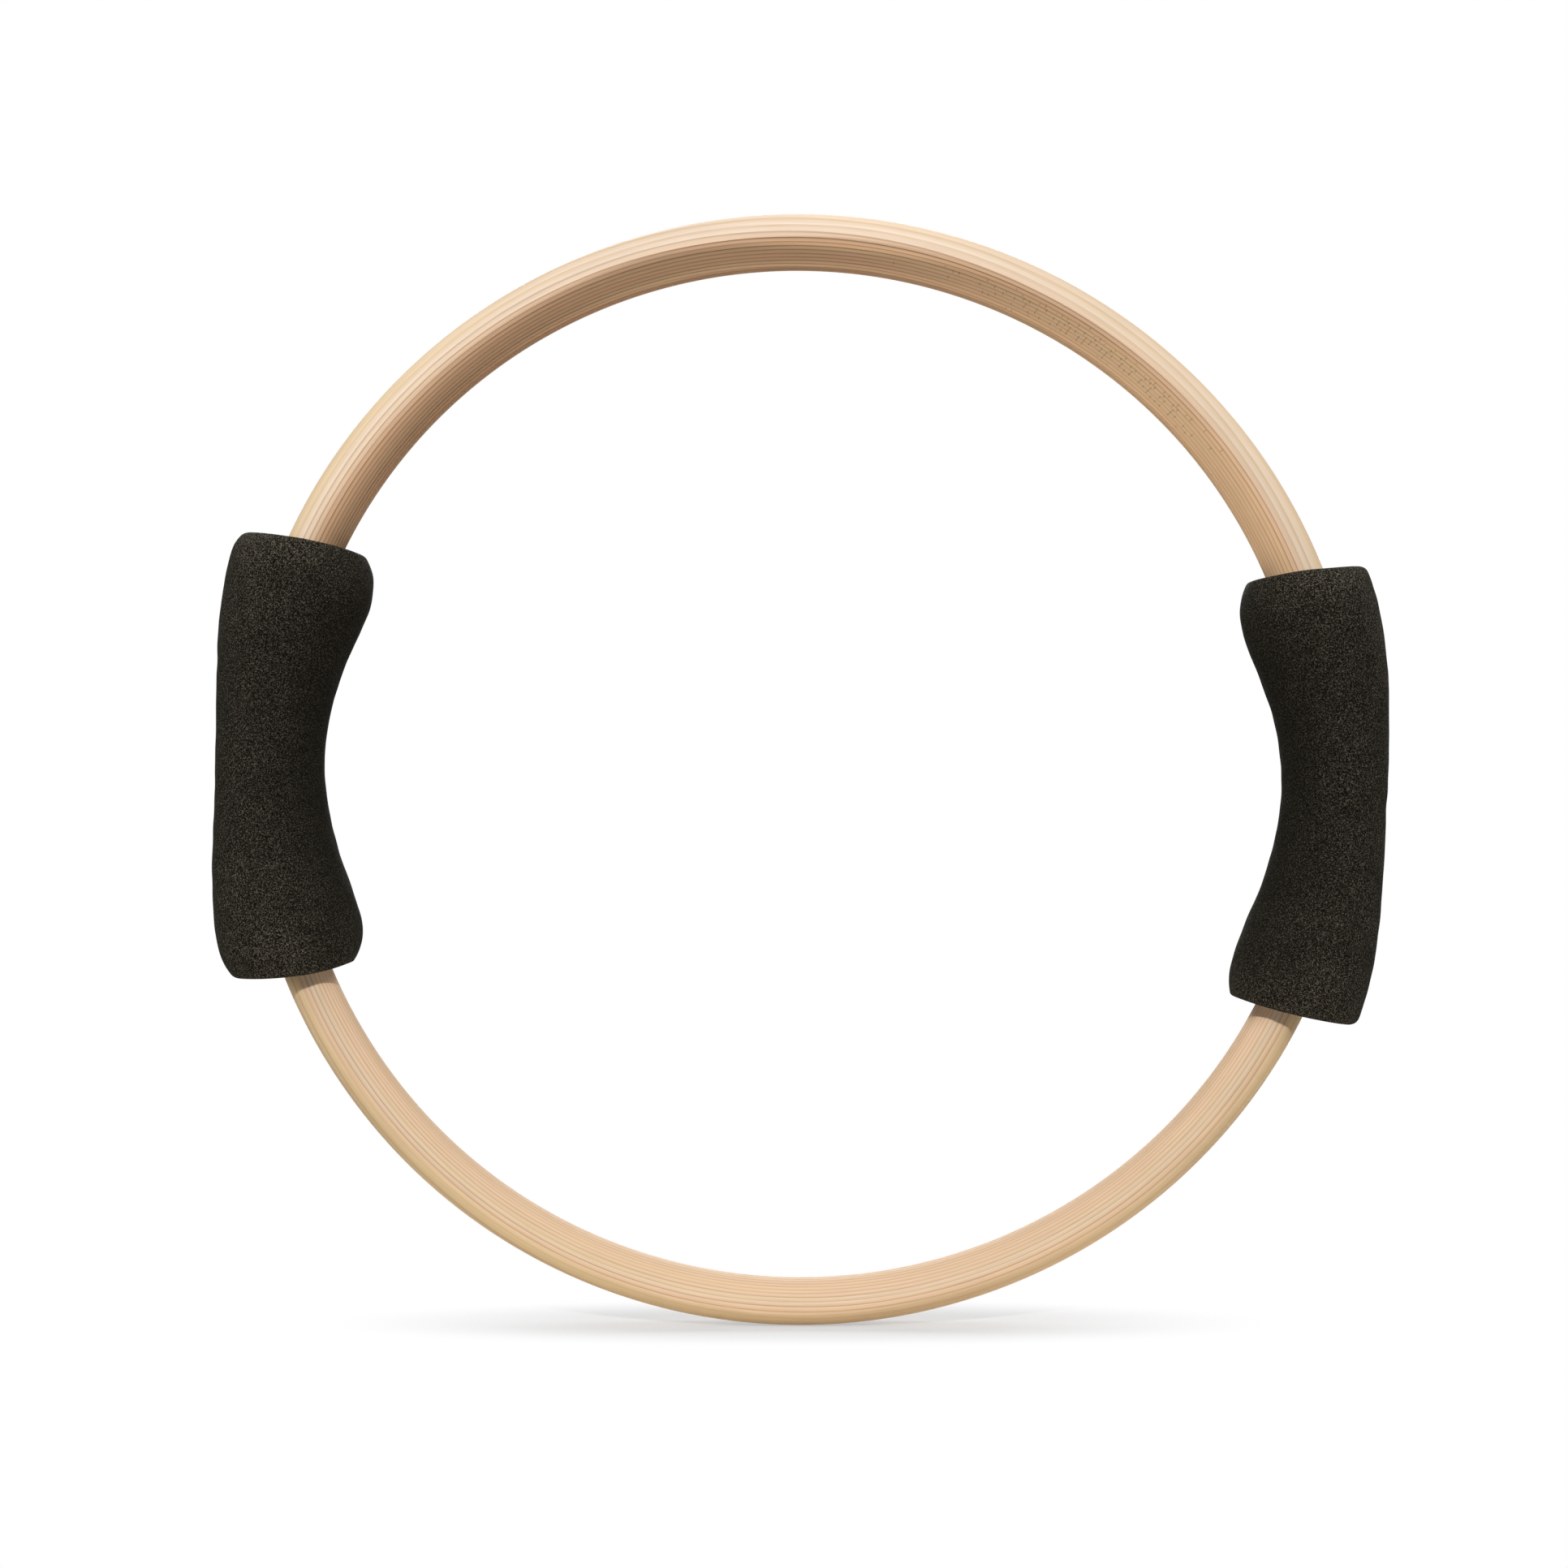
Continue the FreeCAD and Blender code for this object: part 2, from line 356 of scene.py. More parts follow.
class Rod:
    """One bent rod of the hoop, with its scarfed ends inside the grips."""

    def __init__(self, sizes, upper):
        self.sizes = sizes
        self.upper = upper
        self.joint_radius = outer_radius - sizes.lower_thickness / 2
        self.scarf_turn = sizes.scarf_length / 2 / self.joint_radius
        left, right = joint_angle("left"), joint_angle("right")
        if upper:
            self.start, self.end = right - self.scarf_turn, left + self.scarf_turn
        else:
            self.start, self.end = left - self.scarf_turn, right + self.scarf_turn + 2 * math.pi

    def turn_below(self, angles, side):
        """Turn from the middle of a joint, positive downwards."""
        turn = (angles - joint_angle(side) + math.pi) % (2 * math.pi) - math.pi
        return sides[side] * turn

    def joint_distance(self, angles):
        """Distance along the hoop from the nearer joint."""
        turns = [np.abs(self.turn_below(angles, side)) for side in sides]
        return self.joint_radius * np.minimum(*turns)

    def free(self, angles):
        """0 along the dressed stretch of a joint, and 1 where the rod has left the grip."""
        return smooth(self.sizes.dressed_length / 2, free_distance, self.joint_distance(angles))

    def thickness(self, angles):
        """Thickness towards the centre. The upper rod has shoulders down to the lower rod's thickness."""
        lower = self.sizes.lower_thickness
        if not self.upper:
            return np.full(angles.shape, lower)
        past_dressed = self.joint_distance(angles) - self.sizes.dressed_length / 2
        full = np.clip(past_dressed / self.sizes.shoulder_length, 0, 1)
        return lower + full * (upper_thickness + self.sizes.upper_growth - lower)

    def middle_radius(self, angles):
        """Radius of the rod's middle: steamed rods never spring back to a true circle."""
        if self.upper:
            error = self.sizes.upper_spring * np.cos(2 * (angles - spring_angle))
            error = error + self.sizes.upper_growth / 2
        else:
            from_stand = np.clip(np.abs(angles - stand_angle) / settled_turn, 0, 1)
            error = self.sizes.lower_offset * np.cos(angles)
            error = error - self.sizes.lower_flat * np.cos(math.pi / 2 * from_stand) ** 2
        return outer_radius - self.thickness(angles) / 2 + self.free(angles) * error

    def scarf_radius(self, turn):
        """Radius of the scarf face at a turn below a joint's middle."""
        crossing = self.sizes.lower_thickness / 2 - self.sizes.scarf_nib
        offset = crossing / math.sin(self.scarf_turn)
        return offset * np.sin(turn) + np.sqrt(self.joint_radius**2 - (offset * np.cos(turn)) ** 2)

    def stations(self):
        """Hoop angles of the mesh sections, doubled where a scarf's nib steps in."""
        count = round((self.end - self.start) * self.joint_radius / self.sizes.station_step)
        even = np.linspace(self.start, self.end, count)
        sliver = self.sizes.glue_line / self.joint_radius
        steps = []
        for end, inwards in ((self.start, 1), (self.end, -1)):
            step = end + inwards * 2 * self.scarf_turn
            steps += [step - sliver / 2, step + sliver / 2]
        return np.unique(np.concatenate([even, steps]))

    def ridged(self, angles):
        """How far the upper rod is planed to a ridge: fully over its right shoulder, not at its ends."""
        return sweep(15, 55, angles) * (1 - sweep(100, 150, angles))

    def bevelled(self, outwards, frontwards):
        """Share to which bevels planed down from the front and back ridges bring in a section's points."""
        ridge = 0.93
        softness = 0.012
        proud = (2 * np.abs(frontwards) + self.sizes.bevel_slope * 2 * np.abs(outwards)) / ridge - 1
        return 1 / (1 + softness * np.log1p(np.exp(proud / softness)))

    def scarfed(self, radius, angles):
        """Radius of the points once the scarfs at both joints are cut."""
        for side in sides:
            turn = self.turn_below(angles, side)
            face = self.scarf_radius(turn)
            if self.upper:
                cut = np.maximum(radius, face + self.sizes.glue_line / 2)
            else:
                cut = np.minimum(radius, face - self.sizes.glue_line / 2)
            radius = np.where(np.abs(turn) < self.scarf_turn, cut, radius)
        return radius

    def mesh(self, name):
        """Mesh of the rod, with its grain and its tones stored at each point."""
        angles = self.stations()[:, None]
        normals = np.linspace(0, 2 * math.pi, self.sizes.section_points, endpoint=False)[None]
        thickness = self.thickness(angles)
        outwards, frontwards = oval(thickness, rod_width, normals)
        if self.upper:
            planed = self.bevelled(outwards / thickness, frontwards / rod_width)
            ridged = self.free(angles) * self.ridged(angles)
            swell = 1 - ridged * (1 - planed)
            lift = ridged * self.sizes.ridge_lift * np.sin(normals) ** 2
        else:
            swell = 1 + self.free(angles) * self.sizes.lower_fullness * np.sin(2 * normals) ** 2
            lift = 0
        outwards = outwards * swell + lift
        frontwards = frontwards * swell
        radius = self.scarfed(self.middle_radius(angles) + outwards, angles)
        rings = np.stack([radius * np.cos(angles), -frontwards, radius * np.sin(angles)], axis=-1)
        mesh = grid_mesh(name, rings, closed=False)
        self.store_grain(mesh, angles, outwards, frontwards)
        facing = np.broadcast_to(np.cos(normals), radius.shape)
        if self.upper:
            self.store_upper_tones(mesh, angles, facing)
        else:
            self.store_lower_tones(mesh, angles, facing)
        return mesh

    def store_grain(self, mesh, angles, outwards, frontwards):
        """Stores each point's place along the grain, across the growth rings and along them."""
        waver_start, run_out_start = (0.4, 0.6) if self.upper else (2.0, 2.4)
        tilt = ring_tilt + ring_waver * np.sin(2 * angles + waver_start)
        across = outwards * np.cos(tilt) + frontwards * np.sin(tilt)
        beside = frontwards * np.cos(tilt) - outwards * np.sin(tilt)
        across = np.hypot(across + pith_distance, beside) - pith_distance
        across = np.log(1 + ring_narrowing * across) / ring_narrowing
        across = across + ring_run_out * np.sin(1.5 * angles + run_out_start)
        along = np.broadcast_to(self.joint_radius * angles, across.shape)
        place = np.stack([along, across, beside], axis=-1)
        grain = mesh.attributes.new("grain", "FLOAT_VECTOR", "POINT")
        grain.data.foreach_set("vector", place.astype(np.float32).ravel())

    # The tones are stored by how far a point faces outwards: 1 on the outer face, 0 at the front and
    # the back, and -1 on the inner face. The lightness tone is the wood's lightness, where 1 is its written
    # colour, with painted light and shade laid into it by which way each face turns; sapwood, lined and
    # honeyed are shares of those features, and checked is the chance of a check.

    def store_upper_tones(self, mesh, angles, facing):
        """Stores the upper rod's tones: pale sapwood outside and darker, more lined heartwood inside,
        darkened further by painted shade, with painted light on the inner face towards the right and along
        its rim, and painted highlights over the crown and on the left side.
        """
        left = sweep(100, 150, angles)
        right = sweep(92, 40, angles)
        crown = bell(math.radians(84), math.radians(15), angles)
        round_end = 1 - self.ridged(angles)
        inner_edge = smooth(0.92, 0.985, -facing)
        inner_rim = (1 - 0.7 * right) * smooth(0.84, 0.97, -facing)

        # Painted light: the heartwood is made lighter towards the right and along its inner rim, and its low
        # base lightness is partly painted shade
        heart = 0.57 + 0.29 * right + 0.27 * (1 - 0.8 * left) * inner_rim + 0.25 * right * inner_edge
        heart = np.minimum(heart, 1.12)
        # Painted highlights on the sapwood's lightness: over the crown, and on the outer face of the left
        # side
        painted_left_highlight = left * smooth(-0.3, 0.2, facing) * smooth(0.9, 0.6, facing)
        sap = 1 + 0.1 * crown * smooth(0.2, 0.6, facing) + 0.08 * painted_left_highlight
        # It gives way to sapwood near the ridge: sharply where planed, gradually at the round ends, and
        # further inwards over the crown, as painted light
        heart_end = -0.35 - 0.5 * round_end - 0.3 * crown
        sap_start = 0.1 + 0.25 * round_end - 0.4 * crown
        store(mesh, "tone_and_painted_light", heart + (sap - heart) * smooth(heart_end, sap_start, facing))
        # Pale sapwood colours outside and warmer heartwood colours inside: partly the wood's own colour,
        # partly painted light, whiter where the face is lit and warmer where it is shaded
        store(mesh, "sapwood", smooth(-0.38, 0.4, facing))

        lines = 1 - 0.6 * smooth(-0.2, 0.3, facing) - 0.2 * smooth(0.5, 0.9, facing)
        lines = lines * (1 - 0.4 * right) * (1 - 0.85 * np.maximum(inner_rim, inner_edge))
        store(mesh, "lined", lines)
        outer_honey = (0.25 * right + 0.6 * left) * smooth(0.4, 0.9, facing)
        store(mesh, "honeyed", outer_honey + 0.25 * right * smooth(0.1, -0.4, facing))

        # The bend crushed the fibres of the inner face most over the right shoulder
        crushed = bell(math.radians(56), math.radians(15), angles, power=4)
        inner_face = smooth(0.25, 0.6, -facing) * (1 - smooth(0.78, 0.94, -facing))
        store(mesh, "checked", 0.6 * inner_face * crushed)

    def store_lower_tones(self, mesh, angles, facing):
        """Stores the lower rod's tones: a painted highlight along its front, painted shade on its inner rim,
        painted light on its outer side near the grips, and a honey-coloured outer side.
        """
        near_grip = smooth(0.13, 0.075, self.joint_distance(angles))
        outer = smooth(0.3, 0.8, facing)
        inner = smooth(0.8, 0.98, -facing)
        painted_front_highlight = bell(-0.25, 0.3, facing)
        # A plank a little darker than the upper one, with painted shade on the inner rim, a darker outer
        # side, and painted light on the outer side near the grips
        store(mesh, "tone_and_painted_light", 0.9 - 0.06 * inner - 0.06 * outer + 0.22 * near_grip * outer)
        # The pale streak along the front is a painted highlight
        store(mesh, "sapwood", 0.45 + 0.45 * painted_front_highlight)
        store(mesh, "lined", np.full(facing.shape, 0.4))
        store(mesh, "honeyed", 0.15 + 0.6 * smooth(0.2, 0.7, facing))
        store(mesh, "checked", np.zeros(facing.shape))


def steam_bent_ash(finish):
    """Steam-bent ash, planed, sanded and rubbed with a thin oil, so that it has next to no gloss.

    Growth rings show along the rods as long parallel lines: pale spring wood darkens to summer wood
    and ends in a thin line. Sanding leaves the hard summer wood proud and a little smoother.
    """
    material, tree, surface = new_material("oiled steam-bent ash")
    ring_spacing = 0.0013
    ring_wander = 0.0004
    bend_length = 0.09
    bend_width = 1 / 90
    streak_length = 0.2
    streak_width = 0.003
    honey_patchiness = 0.45
    # Single fibres are too fine to show, so each one drawn here stands for a bundle of them
    fibre_length = 0.022
    fibre_width = 0.00028
    # Depth of the ring lines, and the fibres' and the checks' own depth as shares of it
    groove_depth = 0.00014
    fibre_relief = 0.12
    check_depth = 1.5

    grain = add_node(tree, "ShaderNodeAttribute", attribute_name="grain")["Vector"]
    checked = add_node(tree, "ShaderNodeAttribute", attribute_name="checked")["Fac"]
    sapwood = add_node(tree, "ShaderNodeAttribute", attribute_name="sapwood")["Fac"]
    lined = add_node(tree, "ShaderNodeAttribute", attribute_name="lined")["Fac"]
    tone_and_painted_light = add_node(tree, "ShaderNodeAttribute", attribute_name="tone_and_painted_light")["Fac"]
    honeyed = add_node(tree, "ShaderNodeAttribute", attribute_name="honeyed")["Fac"]
    place = add_node(tree, "ShaderNodeSeparateXYZ", {0: grain})

    # Growth rings, which wander a little along the rod
    bends = add_node(
        tree, "ShaderNodeVectorMath", {0: grain, 1: (per(bend_length), per(bend_width), per(bend_width))},
        operation="MULTIPLY",
    )[0]
    drift = add_node(tree, "ShaderNodeTexNoise", {"Vector": bends, "Scale": 1.0, "Detail": 2.0})["Fac"]
    wander = add_node(
        tree, "ShaderNodeMath", {0: drift, 1: ring_wander, 2: place["Y"]}, operation="MULTIPLY_ADD"
    )[0]
    rings = add_node(tree, "ShaderNodeMath", {0: wander, 1: per(ring_spacing)}, operation="MULTIPLY")[0]
    phase = add_node(tree, "ShaderNodeMath", {0: rings}, operation="FRACT")[0]
    number = add_node(tree, "ShaderNodeMath", {0: rings}, operation="FLOOR")[0]
    season = add_node(tree, "ShaderNodeTexWhiteNoise", {"W": number}, noise_dimensions="1D")["Value"]

    # Summer wood, and the line that ends each ring, stronger in some years than in others
    summer = add_node(
        tree, "ShaderNodeMapRange", {"Value": phase, "From Min": 0.15, "From Max": 0.85},
        interpolation_type="SMOOTHSTEP",
    )[0]
    line_start = add_node(
        tree, "ShaderNodeMapRange", {"Value": phase, "From Min": 0.66, "From Max": 0.86},
        interpolation_type="SMOOTHSTEP",
    )[0]
    line_end = add_node(
        tree, "ShaderNodeMapRange", {"Value": phase, "From Min": 1.0, "From Max": 0.96},
        interpolation_type="SMOOTHSTEP",
    )[0]
    strength = add_node(tree, "ShaderNodeMapRange", {"Value": season, "To Min": 0.3, "To Max": 1.0})[0]
    line = add_node(tree, "ShaderNodeMath", {0: line_start, 1: line_end}, operation="MULTIPLY")[0]
    line = add_node(tree, "ShaderNodeMath", {0: line, 1: strength}, operation="MULTIPLY")[0]
    line = add_node(tree, "ShaderNodeMath", {0: line, 1: lined}, operation="MULTIPLY")[0]

    # Yellower streaks and fine fibres along the rod
    streaks = add_node(
        tree, "ShaderNodeVectorMath",
        {0: grain, 1: (per(streak_length), per(streak_width), per(streak_width))}, operation="MULTIPLY",
    )[0]
    honey = add_node(tree, "ShaderNodeTexNoise", {"Vector": streaks, "Scale": 1.0, "Detail": 3.0})["Fac"]
    honey = add_node(tree, "ShaderNodeMapRange", {"Value": honey, "From Min": 0.45, "From Max": 0.75})[0]
    honey_share = add_node(
        tree, "ShaderNodeMath", {0: honey, 1: honey_patchiness, 2: honeyed}, operation="MULTIPLY_ADD",
        use_clamp=True,
    )[0]
    fibres = add_node(
        tree, "ShaderNodeVectorMath", {0: grain, 1: (per(fibre_length), per(fibre_width), per(fibre_width))},
        operation="MULTIPLY",
    )[0]
    fibre = add_node(tree, "ShaderNodeTexNoise", {"Vector": fibres, "Scale": 1.0, "Detail": 2.0})["Fac"]

    # Colour: heartwood and sapwood, whose split is partly painted light, then the streaks, the lines, the
    # lightness tone with its painted light and shade, and the checks
    heart = add_node(
        tree, "ShaderNodeMix",
        {"Factor": summer, mix_first: (*finish.heart_spring, 1), mix_second: (*finish.heart_summer, 1)},
        data_type="RGBA",
    )[mix_result]
    sap = add_node(
        tree, "ShaderNodeMix",
        {"Factor": summer, mix_first: (*finish.sap_spring, 1), mix_second: (*finish.sap_summer, 1)},
        data_type="RGBA",
    )[mix_result]
    wood = add_node(
        tree, "ShaderNodeMix", {"Factor": sapwood, mix_first: heart, mix_second: sap}, data_type="RGBA"
    )[mix_result]
    wood = add_node(
        tree, "ShaderNodeMix", {"Factor": honey_share, mix_first: wood, mix_second: (*finish.ash_honey, 1)},
        data_type="RGBA",
    )[mix_result]
    wood = add_node(
        tree, "ShaderNodeMix", {"Factor": line, mix_first: wood, mix_second: (*finish.ash_line, 1)},
        data_type="RGBA",
    )[mix_result]
    shade = add_node(
        tree, "ShaderNodeMapRange",
        {"Value": fibre, "From Min": 0.3, "From Max": 0.7, "To Min": 0.93, "To Max": 1.05},
    )[0]
    # The lightness tone from the mesh carries painted light and shade
    shade = add_node(tree, "ShaderNodeMath", {0: shade, 1: tone_and_painted_light}, operation="MULTIPLY")[0]
    wood = add_node(
        tree, "ShaderNodeMix", {"Factor": 1.0, mix_first: wood, mix_second: shade}, data_type="RGBA",
        blend_type="MULTIPLY",
    )[mix_result]
    checks = compression_checks(tree, place, checked)
    wood = add_node(
        tree, "ShaderNodeMix", {"Factor": checks, mix_first: wood, mix_second: (*finish.ash_check, 1)},
        data_type="RGBA",
    )[mix_result]

    # Relief: the lines and the checks lie low, and the fibres stand a little proud
    relief = add_node(tree, "ShaderNodeMath", {0: line, 1: -1.0, 2: 1.0}, operation="MULTIPLY_ADD")[0]
    relief = add_node(
        tree, "ShaderNodeMath", {0: fibre, 1: fibre_relief, 2: relief}, operation="MULTIPLY_ADD"
    )[0]
    relief = add_node(
        tree, "ShaderNodeMath", {0: checks, 1: -check_depth, 2: relief}, operation="MULTIPLY_ADD"
    )[0]
    normal = add_node(
        tree, "ShaderNodeBump", {"Height": relief, "Distance": groove_depth, "Strength": 0.85}
    )[0]
    rough = add_node(tree, "ShaderNodeMapRange", {"Value": summer, "To Min": 0.56, "To Max": 0.46})[0]
    shader = add_node(
        tree, "ShaderNodeBsdfPrincipled",
        {"Base Color": wood, "Roughness": rough, "IOR": 1.5, "Normal": normal, "Specular IOR Level": 0.02},
    )
    tree.links.new(shader[0], surface)
    return material


def compression_checks(tree, place, checked):
    """Short checks across the grain where the bend crushed the inner fibres, staggered by rows."""
    # Real checks are as fine as a hair, so they are drawn wide enough to show
    row_width = 0.0012
    check_spacing = 0.0021
    check_width_share = 0.14
    check_strength = 0.45
    rows = add_node(tree, "ShaderNodeMath", {0: place["Y"], 1: per(row_width)}, operation="MULTIPLY")[0]
    row = add_node(tree, "ShaderNodeMath", {0: rows}, operation="FLOOR")[0]
    stagger = add_node(tree, "ShaderNodeTexWhiteNoise", {"W": row}, noise_dimensions="1D")["Value"]
    along = add_node(
        tree, "ShaderNodeMath", {0: place["X"], 1: per(check_spacing), 2: stagger}, operation="MULTIPLY_ADD"
    )[0]
    cell = add_node(tree, "ShaderNodeMath", {0: along}, operation="FLOOR")[0]
    part = add_node(tree, "ShaderNodeMath", {0: along}, operation="FRACT")[0]
    seed = add_node(tree, "ShaderNodeCombineXYZ", {0: cell, 1: row})[0]
    chance = add_node(tree, "ShaderNodeTexWhiteNoise", {"Vector": seed}, noise_dimensions="2D")["Value"]
    mark = add_node(tree, "ShaderNodeMath", {0: part, 1: check_width_share}, operation="LESS_THAN")[0]
    crushed = add_node(tree, "ShaderNodeMath", {0: chance, 1: checked}, operation="LESS_THAN")[0]
    mark = add_node(tree, "ShaderNodeMath", {0: mark, 1: crushed}, operation="MULTIPLY")[0]
    return add_node(tree, "ShaderNodeMath", {0: mark, 1: check_strength}, operation="MULTIPLY")[0]


def closed_cell_foam(finish):
    """Closed-cell rubber foam, ground to shape, so that its skin is a fine felt of cut cells.

    It is nearly black and quite dull, with a fine speckle of pale cell walls and painted glints, and painted
    light and shade that make it lighter on the outer side and at the flared ends.
    """
    material, tree, surface = new_material("ground closed-cell rubber foam")
    # Real cells and their grit are finer than this, and are drawn coarser so that they show
    cell_size = 0.0005
    grit_size = 0.00035
    patch_size = 0.014
    cell_share = 0.3
    pit_depth = 0.0003
    spot = add_node(tree, "ShaderNodeTexCoord")["Object"]
    painted_foam_light = add_node(tree, "ShaderNodeAttribute", attribute_name="painted_foam_light")["Fac"]
    cells = add_node(tree, "ShaderNodeTexVoronoi", {"Vector": spot, "Scale": per(cell_size)})["Distance"]
    grit = add_node(
        tree, "ShaderNodeTexNoise", {"Vector": spot, "Scale": per(grit_size), "Detail": 1.0}
    )["Fac"]
    patch = add_node(
        tree, "ShaderNodeTexNoise", {"Vector": spot, "Scale": per(patch_size), "Detail": 3.0}
    )["Fac"]
    wall = add_node(tree, "ShaderNodeMath", {0: cells, 1: cell_share, 2: grit}, operation="MULTIPLY_ADD")[0]
    bright = add_node(tree, "ShaderNodeMapRange", {"Value": wall, "From Min": 0.62, "From Max": 0.92})[0]
    tone = add_node(
        tree, "ShaderNodeMapRange",
        {"Value": patch, "From Min": 0.3, "From Max": 0.7, "To Min": 0.75, "To Max": 1.15},
    )[0]
    # Painted light and shade: the speckle shows more on the outer side and at the flared ends, and less on
    # the inner side
    tone = add_node(tree, "ShaderNodeMath", {0: tone, 1: painted_foam_light}, operation="MULTIPLY")[0]
    bright = add_node(tree, "ShaderNodeMath", {0: bright, 1: tone}, operation="MULTIPLY", use_clamp=True)[0]
    skin = add_node(
        tree, "ShaderNodeMix",
        {"Factor": bright, mix_first: (*finish.foam_dark, 1), mix_second: (*finish.foam_walls_and_glints, 1)},
        data_type="RGBA",
    )[mix_result]
    normal = add_node(tree, "ShaderNodeBump", {"Height": wall, "Distance": pit_depth, "Strength": 0.5})[0]
    shader = add_node(
        tree, "ShaderNodeBsdfPrincipled",
        {"Base Color": skin, "Roughness": 0.85, "IOR": 1.5, "Normal": normal, "Specular IOR Level": 0.02},
    )
    tree.links.new(shader[0], surface)
    return material


def cotton_tape(finish):
    """Woven cotton tape, wound tight: a matt off-white weave of fine threads."""
    material, tree, surface = new_material("woven cotton tape")
    thread_spacing = 0.0006
    thread_relief = 0.0002
    # The wave texture turns through 20 radians in each unit of its scale
    thread_scale = 2 * math.pi * per(thread_spacing) / 20
    spot = add_node(tree, "ShaderNodeTexCoord")["Object"]
    warp, weft = (
        add_node(
            tree, "ShaderNodeTexWave", {"Vector": spot, "Scale": thread_scale, "Distortion": 0.6},
            bands_direction=direction,
        )["Fac"]
        for direction in ("Z", "Y")
    )
    weave = add_node(tree, "ShaderNodeMath", {0: warp, 1: weft}, operation="MAXIMUM")[0]
    tone = add_node(tree, "ShaderNodeMapRange", {"Value": weave, "To Min": 0.7, "To Max": 1.0})[0]
    cloth = add_node(
        tree, "ShaderNodeMix", {"Factor": 1.0, mix_first: (*finish.tape, 1), mix_second: tone},
        data_type="RGBA", blend_type="MULTIPLY",
    )[mix_result]
    normal = add_node(tree, "ShaderNodeBump", {"Height": weave, "Distance": thread_relief})[0]
    shader = add_node(
        tree, "ShaderNodeBsdfPrincipled",
        {"Base Color": cloth, "Roughness": 0.9, "Normal": normal, "Sheen Weight": 0.2},
    )
    tree.links.new(shader[0], surface)
    return material


def turned_beech(finish):
    """Turned beech dowel rod: a plain tan wood with short darker flecks along the grain."""
    material, tree, surface = new_material("turned beech")
    fleck_length = 0.004
    fleck_width = 0.0004
    fleck_relief = 0.0001
    spot = add_node(tree, "ShaderNodeTexCoord")["Object"]
    grain = add_node(
        tree, "ShaderNodeVectorMath", {0: spot, 1: (per(fleck_length), per(fleck_width), per(fleck_width))},
        operation="MULTIPLY",
    )[0]
    fleck = add_node(tree, "ShaderNodeTexNoise", {"Vector": grain, "Scale": 1.0, "Detail": 3.0})["Fac"]
    tone = add_node(
        tree, "ShaderNodeMapRange",
        {"Value": fleck, "From Min": 0.3, "From Max": 0.6, "To Min": 0.75, "To Max": 1.05},
    )[0]
    wood = add_node(
        tree, "ShaderNodeMix", {"Factor": 1.0, mix_first: (*finish.dowel, 1), mix_second: tone},
        data_type="RGBA", blend_type="MULTIPLY",
    )[mix_result]
    normal = add_node(tree, "ShaderNodeBump", {"Height": fleck, "Distance": fleck_relief})[0]
    shader = add_node(
        tree, "ShaderNodeBsdfPrincipled", {"Base Color": wood, "Roughness": 0.6, "Normal": normal}
    )
    tree.links.new(shader[0], surface)
    return material


def seen_background(tree):
    """1 for light that shows the background, straight to the camera or by gloss or glass, or else 0."""
    rays = add_node(tree, "ShaderNodeLightPath")
    seen = add_node(
        tree, "ShaderNodeMath", {0: rays["Is Camera Ray"], 1: rays["Is Glossy Ray"]}, operation="MAXIMUM"
    )[0]
    return add_node(
        tree, "ShaderNodeMath", {0: seen, 1: rays["Is Transmission Ray"]}, operation="MAXIMUM"
    )[0]


